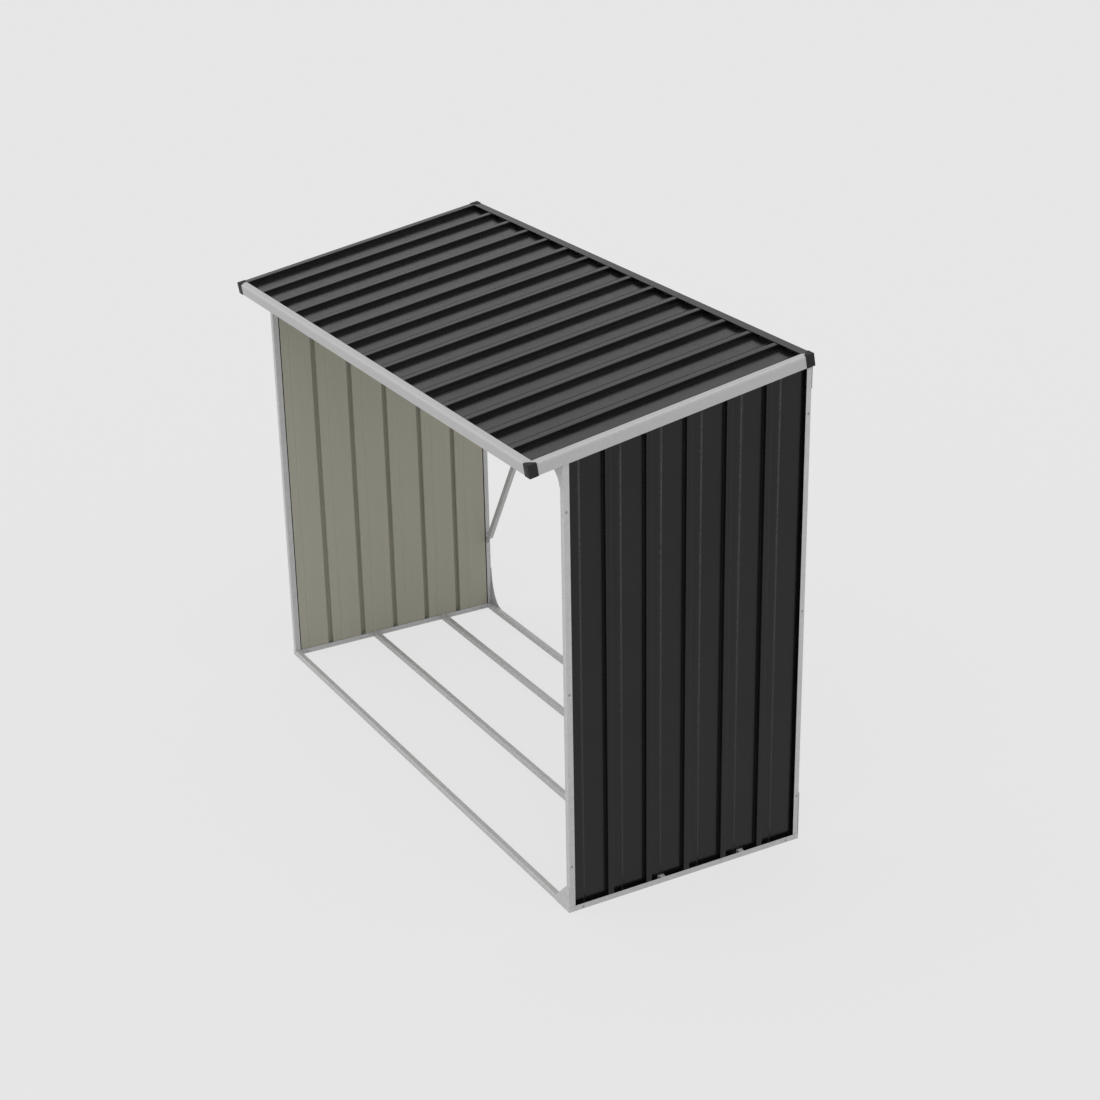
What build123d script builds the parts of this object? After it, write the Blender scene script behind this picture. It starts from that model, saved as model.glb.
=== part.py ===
from build123d import *
import math
import os

# Log store: an open frame of folded steel channels with two ribbed end walls and a ribbed lean-to roof.
# Both long sides are open. X runs along the length, the low open side faces -Y, and Z is up.
# Sizes are in millimetres.
# The origin is on the ground, in the middle of the outline seen from above.

# Overall sizes
frame_length = 1990.0
frame_depth = 803.0
roof_front_height = 1405.5
roof_tilt_degrees = 9.3
front_overhang = 107.5
back_overhang = 0.4
end_overhang = 5.0

# Folded channels of the base, the posts and the roof frame
channel_gauge = 1.0
rail_width = 18.0
rail_height = 18.0
front_post_depth = 20.0
back_post_depth = 17.0
beam_height = 18.0
floor_rail_width = 17.5
floor_rail_height = 19.2
front_bay = 319.5
middle_bay = 279.0

# Ribbed sheet of the walls and the roof
sheet_gauge = 0.8
rib_height = 13.5
rib_top_width = 18.7
rib_base_width = 20.3
wall_front_pan = 141.0
wall_back_pan = 142.0
wall_rib_count = 5
wall_post_grip = 15.0
roof_end_rib_inset = 14.5
roof_sheet_count = 3
pans_per_roof_sheet = 5
lap_foot = 5.0
notch_side_room = 3.0
notch_top_room = 0.6

# Roof trims and their moulded corner caps
trim_gauge = 1.0
trim_lip = 24.5
trim_face = 36.0
cap_wall = 1.5
cap_size = 28.0
cap_short_side = 8.0
cap_skirt = 1.0

# Diagonal braces across the high open side
brace_width = 18.0
brace_gauge = 1.0
brace_flange = 15.0
brace_setback = 16.0
brace_foot_height = 268.0
brace_run = 734.0
brace_flat_end = 30.0
brace_plate_width = 15.0
brace_plate_length = 44.0

# Corner gussets, most with a hollow curve and one with a straight edge
gusset_gauge = 1.0
gusset_long_curve = 142.0
gusset_short_curve = 69.0
gusset_beam_strap = 11.0
gusset_straight_leg = 64.0

# Clearances
fit_gap = 0.2
seat_gap = 0.1
cut_overrun = 50.0

# Places that follow from the sizes above
tilt = math.radians(roof_tilt_degrees)
roof_length = frame_length + 2 * end_overhang
roof_slope_depth = (front_overhang + frame_depth + back_overhang) / math.cos(tilt)
half_length = frame_length / 2
half_roof = roof_length / 2
post_width = rail_width - 2 * (channel_gauge + fit_gap)
trim_inset = cap_wall + seat_gap
cap_rise = cap_wall + seat_gap
cap_drop = trim_face + cap_skirt
roof_depth = roof_slope_depth * math.cos(tilt) + (cap_rise + cap_drop) * math.sin(tilt)
roof_front_y = cap_rise * math.sin(tilt) - roof_depth / 2
front_y = roof_front_y + front_overhang
back_y = front_y + frame_depth
roof_plane = Plane(
    origin=(0, roof_front_y, roof_front_height),
    x_dir=(1, 0, 0),
    z_dir=(0, -math.sin(tilt), math.cos(tilt)),
)

# Levels below the top of the roof trims, measured square to the roof
lap_rise = sheet_gauge + seat_gap
lapping_pan = trim_gauge + seat_gap + rib_height
lapped_pan = lapping_pan + lap_rise
beam_top = lapped_pan + sheet_gauge + seat_gap
beam_bottom = beam_top + beam_height
wall_top = beam_top + channel_gauge + fit_gap

# The roof frame lies between the outer faces of the front and back posts
ring_start = (front_overhang - beam_top * math.sin(tilt)) / math.cos(tilt)
ring_end = (front_overhang + frame_depth - beam_bottom * math.sin(tilt)) / math.cos(tilt)


def along_slope(reach, drop):
    """World Y and Z of a point on the roof, from its reach up the slope and its drop below the top."""
    y = roof_front_y + reach * math.cos(tilt) + drop * math.sin(tilt)
    z = roof_front_height + reach * math.sin(tilt) - drop * math.cos(tilt)
    return y, z


def outline(points):
    """Face bounded by straight lines through the points."""
    return make_face(Polyline(*points, close=True))


def span(low, high):
    """Box between two corners."""
    size = [b - a for a, b in zip(low, high)]
    middle = [(a + b) / 2 for a, b in zip(low, high)]
    return Pos(*middle) * Box(*size)


def channel_face(width, depth, gauge):
    """Channel section with its web on the local X axis and its mouth towards local +Y."""
    half = width / 2
    inner = half - gauge
    return outline([
        (-half, 0), (half, 0), (half, depth), (inner, depth),
        (inner, gauge), (-inner, gauge), (-inner, depth), (-half, depth),
    ])


def channel_along_x(width, height, gauge, reach):
    """Channel with its web on top, centred on X, standing on the ground plane at Y zero."""
    section = Pos(0, height) * Rot(0, 0, 180) * channel_face(width, height, gauge)
    return extrude(Plane.YZ.offset(-reach) * section, amount=2 * reach)


def ribbed_outline(ribs, start, end, start_on_rib=False, end_on_rib=False):
    """Section of a ribbed sheet as points along the sheet and out of it, pans at zero on the outside.

    Each rib is a pair: its place along the sheet and how far its outside is set out to lap another rib.
    A sheet that starts or ends on a rib stops on that rib's crest.
    """
    flank_run = (rib_base_width - rib_top_width) / 2
    corner_share = math.tan(math.atan2(rib_height, flank_run) / 2)

    def edge(offset):
        points = [] if start_on_rib else [(start, offset)]
        for number, (place, set_out) in enumerate(ribs):
            widening = (set_out + offset) * corner_share
            crest = rib_top_width / 2 + widening
            foot = rib_base_width / 2 + widening
            rise = [(place - foot, offset), (place - crest, rib_height + offset)]
            fall = [(place + crest, rib_height + offset), (place + foot, offset)]
            if start_on_rib and number == 0:
                rise = [(start, rib_height + offset)]
            if end_on_rib and number == len(ribs) - 1:
                fall = [(end, rib_height + offset)]
            points += rise + fall
        return points if end_on_rib else points + [(end, offset)]

    return edge(0) + edge(-sheet_gauge)[::-1]


def on_right(shape):
    """The same piece at the other end of the store."""
    return mirror(shape, about=Plane.YZ)


def below_roof(shape, drop):
    """The part of a piece that lies under the roof, with a drop below the top of the trims."""
    return split(shape, bisect_by=roof_plane.offset(-drop), keep=Keep.BOTTOM)


def base_rails():
    """Channels on the ground: end rails open upwards, long rails and floor rails open downwards.

    The webs of the floor rails run on over the end rails as tongues.
    """
    rails = {}
    end_x = -half_length + rail_width / 2
    end_section = Pos(end_x, 0) * channel_face(rail_width, rail_height, channel_gauge)
    rails["base_left_rail"] = extrude(Plane.XZ.offset(-back_y) * end_section, amount=frame_depth)
    rails["base_right_rail"] = on_right(rails["base_left_rail"])
    long_rail = channel_along_x(rail_width, rail_height, channel_gauge, half_length - rail_width - fit_gap)
    rails["base_front_rail"] = Pos(0, front_y + rail_width / 2, 0) * long_rail
    rails["base_back_rail"] = Pos(0, back_y - rail_width / 2, 0) * long_rail
    floor_rail = channel_along_x(floor_rail_width, floor_rail_height, channel_gauge, half_length)
    clear_x = half_length - rail_width - fit_gap
    half_cut = floor_rail_width / 2 + cut_overrun
    tongue_underside = floor_rail_height - channel_gauge
    for side in (-1, 1):
        near, far = sorted((side * clear_x, side * (half_length + cut_overrun)))
        floor_rail -= span((near, -half_cut, -cut_overrun), (far, half_cut, tongue_underside))
    rails["floor_rail_front"] = Pos(0, front_y + front_bay, 0) * floor_rail
    rails["floor_rail_back"] = Pos(0, front_y + front_bay + middle_bay, 0) * floor_rail
    return rails


def posts():
    """Upright channels that stand in the end rails, with their webs on the open sides."""
    pieces = {}
    place_x = -half_length + rail_width / 2
    foot = channel_gauge + seat_gap
    rows = (("front", front_y, 0, front_post_depth), ("back", back_y, 180, back_post_depth))
    for name, face_y, turn, depth in rows:
        section = channel_face(post_width, depth, channel_gauge)
        tall = extrude(Pos(place_x, face_y, foot) * Rot(0, 0, turn) * section, amount=2 * roof_front_height)
        pieces[f"post_{name}_left"] = below_roof(tall, wall_top)
        pieces[f"post_{name}_right"] = on_right(pieces[f"post_{name}_left"])
    return pieces


def roof_frame():
    """Channels under the roof sheets, open downwards and tilted with the roof."""
    beams = {}
    section = Rot(0, 0, 180) * channel_face(rail_width, beam_height, channel_gauge)
    place_x = -half_length + rail_width / 2
    end_section = Plane.XZ.offset(-ring_end) * Pos(place_x, -beam_top) * section
    left = extrude(end_section, amount=ring_end - ring_start)
    beams["roof_left_beam"] = roof_plane * left
    beams["roof_right_beam"] = on_right(beams["roof_left_beam"])
    reach = half_length - rail_width - fit_gap
    for name, middle in (("front", ring_start + rail_width / 2), ("back", ring_end - rail_width / 2)):
        long_section = Plane.YZ.offset(-reach) * Pos(middle, -beam_top) * section
        beams[f"roof_{name}_beam"] = roof_plane * extrude(long_section, amount=2 * reach)
    return beams


def wall_sheets():
    """Ribbed end walls, ribs outwards, held in the posts, the end rails and the roof frame."""
    pitch = (frame_depth - wall_front_pan - wall_back_pan) / (wall_rib_count - 1)
    ribs = [(front_y + wall_front_pan + number * pitch, 0) for number in range(wall_rib_count)]
    start = front_y + front_post_depth - wall_post_grip
    end = back_y - back_post_depth + wall_post_grip
    pan_x = half_length - channel_gauge - fit_gap - rib_height
    points = [(-pan_x - out, place) for place, out in ribbed_outline(ribs, start, end)]
    foot = channel_gauge + seat_gap
    sheet = below_roof(extrude(Pos(0, 0, foot) * outline(points), amount=2 * roof_front_height), wall_top)
    half_notch = floor_rail_width / 2 + notch_side_room
    for bay in (front_bay, front_bay + middle_bay):
        middle = front_y + bay
        notch_top = floor_rail_height + notch_top_room
        low = (-half_length - cut_overrun, middle - half_notch, -cut_overrun)
        high = (-half_length + rail_width + cut_overrun, middle + half_notch, notch_top)
        sheet -= span(low, high)
    return {"left_wall_sheet": sheet, "right_wall_sheet": on_right(sheet)}


def roof_sheets():
    """Ribbed roof sheets side by side. Every second one laps over its neighbours on the shared ribs."""
    sheets = {}
    pan_count = roof_sheet_count * pans_per_roof_sheet
    pitch = (roof_length - 2 * roof_end_rib_inset) / pan_count
    first_rib = -half_roof + roof_end_rib_inset
    edge_x = half_roof - trim_inset - trim_gauge - seat_gap
    start_v = trim_inset + trim_gauge + seat_gap
    end_v = roof_slope_depth - start_v
    for number in range(roof_sheet_count):
        on_top = number % 2 == 1
        first_sheet = number == 0
        last_sheet = number == roof_sheet_count - 1
        sheet_x = first_rib + number * pans_per_roof_sheet * pitch
        places = [sheet_x + step * pitch for step in range(pans_per_roof_sheet + 1)]
        ribs = [[place, 0] for place in places]
        if on_top:
            ribs[0][1] = lap_rise
            ribs[-1][1] = lap_rise
        foot = rib_base_width / 2 + lap_rise + lap_foot
        start = -edge_x if first_sheet else places[0] - foot
        end = edge_x if last_sheet else places[-1] + foot
        level = -lapping_pan if on_top else -lapped_pan
        section = outline(ribbed_outline(ribs, start, end, first_sheet, last_sheet))
        flat = extrude(Plane.XZ.offset(-end_v) * Pos(0, level) * section, amount=end_v - start_v)
        sheets[f"roof_sheet_{number + 1}"] = roof_plane * flat
    return sheets


def roof_trims():
    """Folded edge trims, mitred at the corners, with the lip on the rib crests and the face turned down.

    At the back and the left the lip is a strip of the roof's own sheet that lies on the face's top edge.
    """
    outer = half_roof - trim_inset
    corner = (
        (trim_inset, 0), (trim_inset + trim_lip, 0), (trim_inset + trim_lip, -trim_gauge),
        (trim_inset + trim_gauge, -trim_gauge), (trim_inset + trim_gauge, -trim_face),
        (trim_inset, -trim_face),
    )
    mitre_right = Plane(origin=(outer, trim_inset, 0), x_dir=(0, 0, 1), z_dir=(1, 1, 0))
    mitre_left = Plane(origin=(-outer, trim_inset, 0), x_dir=(0, 0, 1), z_dir=(-1, 1, 0))
    front = extrude(Plane.YZ.offset(-outer) * outline(corner), amount=2 * outer)
    front = split(front, bisect_by=mitre_right.offset(-seat_gap), keep=Keep.BOTTOM)
    front = split(front, bisect_by=mitre_left.offset(-seat_gap), keep=Keep.BOTTOM)
    side_points = [(reach - half_roof, drop) for reach, drop in corner]
    length = roof_slope_depth - 2 * trim_inset
    side = extrude(Plane.XZ.offset(trim_inset - roof_slope_depth) * outline(side_points), amount=length)
    middle = Plane.XZ.offset(-roof_slope_depth / 2)
    side = split(side, bisect_by=mitre_left, keep=Keep.TOP)
    side = mirror(split(mirror(side, about=middle), bisect_by=mitre_left, keep=Keep.TOP), about=middle)
    back = mirror(front, about=middle)
    under_lip = Plane.XY.offset(-trim_gauge)
    return {
        "roof_trim_front": roof_plane * front,
        "roof_trim_right": on_right(roof_plane * side),
        "roof_trim_back": roof_plane * split(back, bisect_by=under_lip, keep=Keep.BOTTOM),
        "roof_trim_left": roof_plane * split(side, bisect_by=under_lip, keep=Keep.BOTTOM),
        "roof_edge_strip_back": roof_plane * split(back, bisect_by=under_lip, keep=Keep.TOP),
        "roof_edge_strip_left": roof_plane * split(side, bisect_by=under_lip, keep=Keep.TOP),
    }


def corner_caps():
    """Moulded caps over the mitred corners of the trims: a top with a cut corner and two faces."""
    plan = ((0, 0), (cap_size, 0), (cap_size, cap_short_side), (cap_short_side, cap_size), (0, cap_size))
    top = outline([(reach - half_roof, slope_reach) for reach, slope_reach in plan])
    block = extrude(Plane.XY.offset(-cap_drop) * top, amount=cap_drop + cap_rise)
    hollow = span(
        (-half_roof + cap_wall, cap_wall, -cap_drop - cut_overrun),
        (-half_roof + cap_size + cut_overrun, cap_size + cut_overrun, seat_gap),
    )
    front = block - hollow
    back = mirror(front, about=Plane.XZ.offset(-roof_slope_depth / 2))
    caps = {}
    for name, cap in (("front", front), ("back", back)):
        caps[f"corner_cap_{name}_left"] = roof_plane * cap
        caps[f"corner_cap_{name}_right"] = on_right(roof_plane * cap)
    return caps


def braces():
    """Angle braces on the high open side, each with a plate on the post and one under the beam."""
    foot_x = -half_length + (rail_width + post_width) / 2 + seat_gap
    top_drop = beam_bottom + seat_gap
    rise = along_slope(ring_end, top_drop)[1] - brace_foot_height
    length = math.hypot(brace_run, rise)
    corner = (foot_x, back_y - brace_setback, brace_foot_height)
    lie = Plane(origin=corner, x_dir=(brace_run, 0, rise), z_dir=(0, 1, 0))
    edge = brace_width / 2
    strap = span((-cut_overrun, -edge, 0), (length + cut_overrun, edge, brace_gauge))
    flange = span((brace_flat_end, edge - brace_gauge, 0), (length + cut_overrun, edge, brace_flange))
    beside_post = Plane(origin=(foot_x, back_y - back_post_depth / 2, 0), x_dir=(0, 1, 0), z_dir=(1, 0, 0))
    bar = split(lie * (strap + flange), bisect_by=beside_post, keep=Keep.TOP)
    bar = split(bar, bisect_by=Plane.XY.offset(brace_foot_height), keep=Keep.TOP)
    bar = below_roof(bar, top_drop)
    plate_middle = brace_foot_height + brace_plate_length / 2
    slot = Rot(0, 0, 90) * SlotOverall(brace_plate_length, brace_plate_width)
    foot_plate = extrude(beside_post * Pos(0, plate_middle) * slot, amount=brace_gauge)
    top_x = foot_x + brace_run
    top_plate = roof_plane * span(
        (top_x - brace_plate_length / 2, ring_end - rail_width, -top_drop - brace_gauge),
        (top_x + brace_plate_length / 2, ring_end, -top_drop),
    )
    left = bar + foot_plate + top_plate
    return {"brace_left": left, "brace_right": on_right(left)}


def gusset(run_x, run_z, strap_x, strap_z):
    """Corner plate with two straps and a hollow elliptic edge. Negative run_z hangs it downwards."""
    way = math.copysign(1, run_z)
    width = strap_x + run_x
    height = strap_z + abs(run_z)
    plate = Pos(width / 2, way * height / 2) * Rectangle(width, height)
    return plate - Pos(width, way * height) * Ellipse(run_x, abs(run_z))


def straight_gusset(leg, strap_x, strap_z):
    """Corner plate with two straps and a straight slanting edge between them."""
    return outline([
        (0, 0), (strap_x + leg, 0), (strap_x + leg, strap_z), (strap_x, strap_z + leg), (0, strap_z + leg),
    ])


def gussets():
    """Plates at the corners of the open sides, tall at the ground and wide under the roof."""
    strap_x = rail_width
    front_low = straight_gusset(gusset_straight_leg, strap_x, rail_height)
    low = gusset(gusset_short_curve, gusset_long_curve, strap_x, rail_height)
    high = gusset(gusset_long_curve, -gusset_short_curve, strap_x, gusset_beam_strap)
    front_face = front_y - seat_gap
    back_face = back_y + seat_gap + gusset_gauge
    front_high = along_slope(ring_start, beam_bottom)[1] + gusset_beam_strap
    back_high = along_slope(ring_end, beam_bottom)[1] + gusset_beam_strap

    def plate(face, y, z):
        place = Plane(origin=(-half_length, y, z), x_dir=(1, 0, 0), z_dir=(0, -1, 0))
        return extrude(place * face, amount=gusset_gauge)

    back_low = plate(low, back_face, 0)
    front_top = plate(high, front_face, front_high)
    back_top = plate(high, back_face, back_high)
    return {
        "base_gusset_front_right": on_right(plate(front_low, front_face, 0)),
        "base_gusset_back_left": back_low,
        "base_gusset_back_right": on_right(back_low),
        "top_gusset_front_left": front_top,
        "top_gusset_front_right": on_right(front_top),
        "top_gusset_back_left": back_top,
        "top_gusset_back_right": on_right(back_top),
    }


def build():
    """All pieces of the store by name."""
    pieces = {}
    for group in (base_rails, posts, roof_frame, wall_sheets, roof_sheets, roof_trims, corner_caps):
        pieces.update(group())
    pieces.update(braces())
    pieces.update(gussets())
    return pieces


os.makedirs("parts", exist_ok=True)
for node, shape in build().items():
    export_step(shape, f"parts/{node}.step")
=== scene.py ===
"""Looks of a steel log store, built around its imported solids.

Nearly every piece is folded from strip or ribbed sheet. Fold rounds the bends of a section, FoldedPiece lays
both faces of the metal along it, and each sub-assembly says which sections it is folded from. Lengths are in
metres.
"""

import logging
import math
from collections.abc import Callable
from dataclasses import dataclass, field
from enum import Enum

import bmesh
import bpy
from mathutils import Matrix, Vector

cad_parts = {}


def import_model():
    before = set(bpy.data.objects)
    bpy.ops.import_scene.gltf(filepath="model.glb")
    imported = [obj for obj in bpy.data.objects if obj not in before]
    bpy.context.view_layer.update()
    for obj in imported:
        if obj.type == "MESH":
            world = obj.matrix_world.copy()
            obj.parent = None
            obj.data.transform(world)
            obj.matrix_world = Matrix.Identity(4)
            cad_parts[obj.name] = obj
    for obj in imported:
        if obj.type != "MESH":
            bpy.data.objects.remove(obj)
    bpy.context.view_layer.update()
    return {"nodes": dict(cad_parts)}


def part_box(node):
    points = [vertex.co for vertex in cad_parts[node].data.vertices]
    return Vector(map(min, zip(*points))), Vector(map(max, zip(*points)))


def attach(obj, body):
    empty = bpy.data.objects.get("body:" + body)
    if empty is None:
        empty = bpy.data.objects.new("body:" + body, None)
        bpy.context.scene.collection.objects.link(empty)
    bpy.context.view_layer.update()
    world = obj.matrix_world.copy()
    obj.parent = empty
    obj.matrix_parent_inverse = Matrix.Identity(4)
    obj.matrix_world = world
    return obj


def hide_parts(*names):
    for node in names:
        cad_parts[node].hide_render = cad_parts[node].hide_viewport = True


LOG = logging.getLogger("log_store")
BODY = "root"
MM = 0.001
# Places closer together than CLOSE are one place. Places free of the wear and highlight mark keep GUARD away
# from bends and ends.
CLOSE = 0.05 * MM
GUARD = 2.0 * MM
# The mark on bends and cut edges is wear on zinc and backing, and a painted highlight on the dark coil coats.
WEAR_AND_HIGHLIGHT = "wear"
SHARP_ANGLE = math.radians(35)
# Nearly all of a noise lies between these values.
NOISE_SPAN = (0.3, 0.7)

Pair = tuple[float, float]
Colour = tuple[float, float, float]
Material = bpy.types.Material
Socket = bpy.types.NodeSocket
Solid = bpy.types.Object
Tree = bpy.types.NodeTree
Filling = float | tuple[float, ...] | Socket
Box = tuple[Vector, Vector]


class Mouth(Enum):
    """Side of its section on which a channel is open."""

    UP = "up"
    DOWN = "down"


class Axis(Enum):
    """Axis along which a channel runs, by its number."""

    X = 0
    Y = 1
    Z = 2


class Metal(Enum):
    """Side of the outer line, walked from its start, on which the metal lies."""

    LEFT = 1.0
    RIGHT = -1.0


class Side(Enum):
    """Side of the store."""

    @property
    def word(self) -> str:
        """Name of the side in the names of pieces."""
        return self.name.lower()


class End(Side):
    """Closed end of the store, with its direction along X."""

    LEFT = -1.0
    RIGHT = 1.0


class Row(Side):
    """Open side of the store, with its direction along Y."""

    FRONT = -1.0
    BACK = 1.0


@dataclass(frozen=True)
class Station:
    """Place on a section: a point on the outer face, the point behind it, and its mark for wear and painted
    highlight.
    """

    outer: Pair
    inner: Pair
    wear: float


@dataclass(frozen=True)
class Stop:
    """Place along a piece: share of its length, offset from there, its mark for wear and painted highlight,
    and how strongly its bends are marked.
    """

    share: float
    offset: float = 0.0
    wear: float = 0.0
    rub: float = 1.0

    def between(self, start: float, end: float) -> float:
        """Where the stop is on a piece that runs from start to end."""
        return start + self.share * (end - start) + self.offset


@dataclass
class Fold:
    """Section of a folded strip, given by the sharp line of its outer face and rounded at each bend."""

    corners: list[Pair]
    gauge: float
    metal: Metal
    bend: float
    # Marks of sharp and hollow bends, for wear and painted highlight.
    sharp_wear: float = 1.0
    hollow_wear: float = 0.2
    soft_turn: float = math.radians(60)
    straight_turn: float = 1e-4
    shortest_flat: float = 4 * GUARD
    longest_reach: float = 0.45
    steps: int = 4

    def stations(self) -> list[Station]:
        """Walk the section.

        Returns:
            Stations from one cut edge to the other.
        """
        points = [Vector(corner) for corner in self.corners]
        found = [self._station(points[0], (points[1] - points[0]).normalized(), 1.0)]
        for before, corner, after in zip(points, points[1:], points[2:]):
            found += self._bend(before, corner, after)
        found.append(self._station(points[-1], (points[-1] - points[-2]).normalized(), 1.0))
        return self._guarded(found)

    def _station(self, point: Vector, way: Vector, wear: float) -> Station:
        """Station at a point of the outer face, where the line runs that way and the mark for wear and
        painted highlight is that strong.
        """
        inward = Vector((-way.y, way.x)) * self.metal.value * self.gauge
        return Station(tuple(point), tuple(point + inward), wear)

    def _bend(self, before: Vector, corner: Vector, after: Vector) -> list[Station]:
        """Stations round one bend.

        Args:
            before: Corner before the bend.
            corner: Sharp corner of the bend.
            after: Corner after the bend.

        Returns:
            Stations along the arc, or one station where the line runs straight on.
        """
        into = (corner - before).normalized()
        out = (after - corner).normalized()
        turn = math.atan2(into.x * out.y - into.y * out.x, into.dot(out))
        if abs(turn) < self.straight_turn:
            return [self._station(corner, into, 0.0)]
        convex = turn * self.metal.value > 0
        radius = self.bend + (self.gauge if convex else 0.0)
        half_tangent = math.tan(abs(turn) / 2)
        room = self.longest_reach * min((corner - before).length, (after - corner).length)
        radius = min(radius, room / half_tangent)
        swing = math.copysign(radius, turn)
        # Soft bends such as the beads take the full mark, which is a painted highlight on the dark coats.
        rubbed_and_highlit = 1.0 if abs(turn) < self.soft_turn else self.sharp_wear
        centre = corner - into * radius * half_tangent + Vector((-into.y, into.x)) * swing
        found = []
        for step in range(self.steps + 1):
            angle = turn * step / self.steps
            way = Matrix.Rotation(angle, 2) @ into
            point = centre - Vector((-way.y, way.x)) * swing
            found.append(self._station(point, way, rubbed_and_highlit if convex else self.hollow_wear))
        return found

    def _guarded(self, stations: list[Station]) -> list[Station]:
        """Add unmarked stations just inside each flat, so that bends and edges shade on their own.

        Args:
            stations: Stations at edges and bends.

        Returns:
            The same stations with those of the flats between them.
        """
        found = stations[:1]
        for first, second in zip(stations, stations[1:]):
            length = math.dist(first.outer, second.outer)
            if length > self.shortest_flat:
                for share in (GUARD / length, 1 - GUARD / length):
                    outer = Vector(first.outer).lerp(Vector(second.outer), share)
                    inner = Vector(first.inner).lerp(Vector(second.inner), share)
                    found.append(Station(tuple(outer), tuple(inner), 0.0))
            found.append(second)
        return found


Placer = Callable[[Pair, Stop], Vector]
Keeper = Callable[[Pair, Stop], bool]


def plain_stops(*between: Stop) -> list[Stop]:
    """Stops along a piece: its ends marked for wear and painted highlight, unmarked stops just inside them,
    and others between.
    """
    return [Stop(0.0, 0.0, 1.0), Stop(0.0, GUARD), *between, Stop(1.0, -GUARD), Stop(1.0, 0.0, 1.0)]


class FoldedPiece:
    """Collects the faces of one piece of metal and makes its object."""

    def __init__(self, name: str) -> None:
        """Start an empty piece of that name."""
        self.name = name
        self.points: list[Vector] = []
        self.wear: list[float] = []
        self.faces: list[list[int]] = []
        self.sides: list[int] = []

    def point(self, place: Vector, wear: float = 0.0) -> int:
        """Add a point.

        Args:
            place: Where it is, in the store's frame.
            wear: Its mark for wear and painted highlight.

        Returns:
            The point's number.
        """
        self.points.append(place)
        self.wear.append(wear)
        return len(self.points) - 1

    def face(self, numbers: list[int], side: int = 0) -> None:
        """Add a face with the finish of side 0, the outside, or side 1, the inside."""
        self.faces.append(numbers)
        self.sides.append(side)

    def lay(
        self,
        fold: Fold,
        stops: list[Stop],
        place: Placer,
        keep: Keeper | None = None,
        in_shade_line: Callable[[Pair], bool] | None = None,
    ) -> None:
        """Lay both faces of a folded strip and close its cut edges.

        Args:
            fold: Section of the strip.
            stops: Stops along it.
            place: Gives a point in the store's frame for a point of the section at a stop.
            keep: Says whether the cell round a section point and a stop is metal. All are by default.
            in_shade_line: Says where on the section the outside's dark finish covers the inside too, as
                painted shade. Nowhere by default.
        """
        stations = fold.stations()
        pairs = zip(stations, stations[1:])
        spots = [tuple(Vector(one.outer).lerp(Vector(two.outer), 0.5)) for one, two in pairs]
        grid: list[list[tuple[int, int]]] = []
        for stop in stops:
            line = []
            for station in stations:
                wear = max(station.wear * stop.rub, stop.wear)
                outer = self.point(place(station.outer, stop), wear)
                line.append((outer, self.point(place(station.inner, stop), wear)))
            grid.append(line)
        kept = set()
        for row, (low, high) in enumerate(zip(stops, stops[1:])):
            middle = Stop((low.share + high.share) / 2, (low.offset + high.offset) / 2)
            kept |= {(row, column) for column, spot in enumerate(spots) if keep is None or keep(spot, middle)}
        for row, column in sorted(kept):
            # Cells in the painted shade line take the dark outside finish on their inside face too.
            inside = 0 if in_shade_line and in_shade_line(spots[column]) else 1
            corners = [(row, column), (row, column + 1), (row + 1, column + 1), (row + 1, column)]
            beyond = [(row - 1, column), (row, column + 1), (row + 1, column), (row, column - 1)]
            ring = [grid[r][c] for r, c in corners]
            self.face([pair[0] for pair in ring], 0)
            self.face([pair[1] for pair in reversed(ring)], inside)
            for first, second, neighbour in zip(ring, ring[1:] + ring[:1], beyond):
                if neighbour not in kept:
                    self.face([first[0], first[1], second[1], second[0]], 0)

    def turn(self, profile: list[Pair], centre: Vector, axis: Vector, star: float, sides: int = 20) -> None:
        """Add a turned form with a star recess in its last rings.

        Args:
            profile: Radius and height of each ring, from the seat to the middle.
            centre: Middle of the seat.
            axis: Direction in which it stands out.
            star: How deeply the innermost ring is drawn into four points, as a share of its radius.
            sides: Points on each ring.
        """
        across = axis.orthogonal().normalized()
        along = axis.cross(across)
        rings = []
        for number, (radius, height) in enumerate(profile):
            inmost = number >= len(profile) - 2
            ring = []
            for step in range(sides):
                angle = 2 * math.pi * step / sides
                pull = 1 - star * (1 - abs(math.cos(2 * angle))) if inmost else 1.0
                way = across * math.cos(angle) + along * math.sin(angle)
                ring.append(self.point(centre + way * radius * pull + axis * height))
            rings.append(ring)
        for low, high in zip(rings, rings[1:]):
            for step in range(sides):
                after = (step + 1) % sides
                self.face([low[step], low[after], high[after], high[step]])
        self.face(rings[-1])
        self.face(rings[0][::-1])

    def make(self, finishes: list[Material], nodes: tuple[str, ...] = ()) -> None:
        """Make the object and tie it to the frame.

        Args:
            finishes: Material of the outside, then that of the inside if it differs.
            nodes: Solids that it stands for.
        """
        mesh = bpy.data.meshes.new(self.name)
        mesh.from_pydata(self.points, [], self.faces)
        worn_and_highlit = mesh.attributes.new(WEAR_AND_HIGHLIGHT, "FLOAT", "POINT")
        worn_and_highlit.data.foreach_set("value", self.wear)
        mesh.polygons.foreach_set("material_index", [min(side, len(finishes) - 1) for side in self.sides])
        work = bmesh.new()
        work.from_mesh(mesh)
        bmesh.ops.delete(work, geom=[spot for spot in work.verts if not spot.link_faces], context="VERTS")
        bmesh.ops.recalc_face_normals(work, faces=work.faces)
        work.to_mesh(mesh)
        work.free()
        tie(self.name, mesh, finishes, nodes)


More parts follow.
